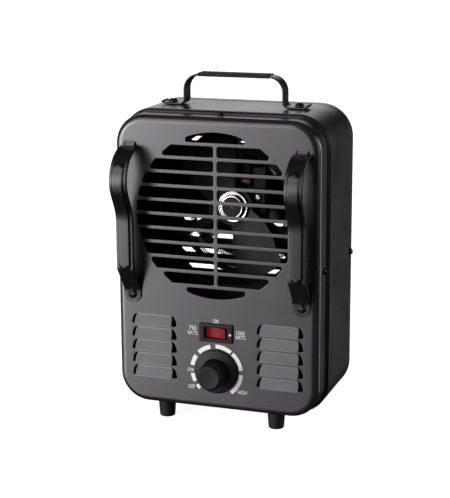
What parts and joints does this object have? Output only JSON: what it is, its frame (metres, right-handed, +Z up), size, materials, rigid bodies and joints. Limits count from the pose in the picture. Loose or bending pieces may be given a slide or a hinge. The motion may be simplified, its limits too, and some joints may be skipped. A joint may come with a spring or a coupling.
{
  "type": "ceramic space heater",
  "caption": "Portable fan-forced heater with a stamped steel case, round slotted grille, stand-off guard bars, louvres, rocker switch, thermostat knob and carrying handle.",
  "frame": {"origin": "centre of the bounding box on the floor, under the feet", "axes": "+Z up from the floor, +Y from the grille to the rear panel, +X to the right of someone facing the grille"},
  "size_m": [0.2036, 0.138, 0.3162],
  "materials": {
    "painted": "satin charcoal enamel",
    "black_enamel": "satin black enamel",
    "galvanised": "galvanised",
    "rolled_steel": "rolled",
    "black_screws": "black zinc",
    "bright_zinc": "bright zinc",
    "chrome_plate": "polished",
    "laminated_steel": "laminated steel",
    "copper_winding": "enamelled copper wire",
    "black_rubber": "matt black",
    "black_plastic": "black moulded",
    "red_rocker": "translucent red",
    "brass_fittings": "turned",
    "steatite": "glazed steatite ceramic",
    "nichrome": "oxidised nichrome wire"
  },
  "bodies": {
    "housing": {"bearing_front": "rolled_steel", "bearing_rear": "rolled_steel", "case_wrap": "painted", "ceramic_bar_1": "steatite", "ceramic_bar_2": "steatite", "ceramic_bar_3": "steatite", "ceramic_bar_4": "steatite", "cord_inlet": "black_plastic", "divider_shelf": "black_enamel", "fan_shroud": "black_enamel", "foot_front_left": "black_rubber", "foot_front_right": "black_rubber", "foot_rear_left": "black_rubber", "foot_rear_right": "black_rubber", "front_flange_screw_left": "black_screws", "front_flange_screw_right": "black_screws", "front_flange_screw_top": "black_screws", "front_panel": "painted", "guard_bar_left": "black_enamel", "guard_bar_right": "black_enamel", "guard_screw_left": "black_screws", "guard_screw_right": "black_screws", "handle_grip": "black_rubber", "handle_nut_left": "black_screws", "handle_nut_right": "black_screws", "handle_screw_left": "black_screws", "handle_screw_right": "black_screws", "handle_strap": "black_enamel", "heater_frame": "rolled_steel", "heating_coil_1": "nichrome", "heating_coil_2": "nichrome", "joining_ring": "painted", "motor_bolt_left": "bright_zinc", "motor_bolt_right": "bright_zinc", "motor_spider": "rolled_steel", "motor_stator": "laminated_steel", "motor_winding": "copper_winding", "rear_flange_screw_left": "black_screws", "rear_flange_screw_right": "black_screws", "rear_panel": "painted", "switch_housing": "black_plastic", "terminal_block": "steatite", "thermal_cutout": "bright_zinc", "thermostat_body": "bright_zinc", "thermostat_nut": "brass_fittings", "tip_over_switch": "black_plastic"},
    "fan": {"fan_blades": "rolled_steel", "fan_hub": "chrome_plate", "motor_rotor": "laminated_steel"},
    "knob": {"thermostat_knob": "black_plastic", "thermostat_shaft": "brass_fittings"},
    "rocker": {"switch_rocker": "red_rocker"}
  },
  "joints": [
    {"name": "fan_spin", "type": "hinge", "parent": "housing", "child": "fan", "pos_m": [0, 0.01285, 0.194], "axis": [0, 1, 0], "continuous": true},
    {"name": "thermostat_turn", "type": "hinge", "parent": "housing", "child": "knob", "pos_m": [0, -0.03715, 0.0517], "axis": [0, 1, 0], "range_deg": [0, 270]},
    {"name": "rocker_tip", "type": "hinge", "parent": "housing", "child": "rocker", "pos_m": [0, -0.03355, 0.0878], "axis": [0, 0, 1], "range_deg": [0, 18]}
  ]
}
